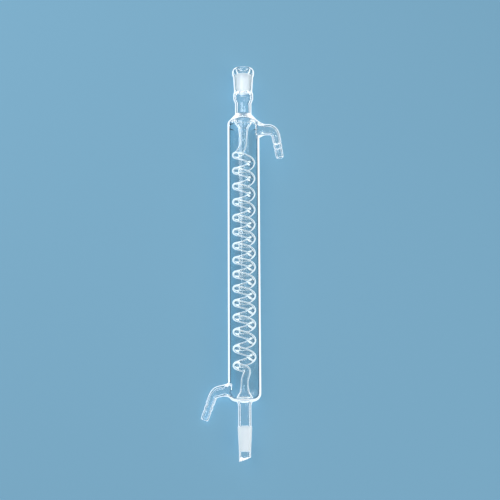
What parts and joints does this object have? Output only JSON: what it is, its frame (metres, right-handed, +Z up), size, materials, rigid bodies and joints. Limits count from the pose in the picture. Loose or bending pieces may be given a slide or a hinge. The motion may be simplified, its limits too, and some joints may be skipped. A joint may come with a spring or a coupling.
{
  "type": "coil condenser",
  "caption": "Glass condenser: a coiled vapour tube inside a straight water jacket, with a ground socket and cone on its ends and two bent hose arms.",
  "frame": {"origin": "on the floor, under the middle of the condenser's box as it lies on its side", "axes": "+Y along the tube towards the ground socket, +Z up, with the upper hose arm on the +X side and the lower one on the -X side"},
  "size_m": [0.0848, 0.425, 0.0345],
  "materials": {
    "clear_glass": "gloss"
  },
  "bodies": {
    "root": {"coil_condenser": "clear_glass"}
  },
  "joints": []
}
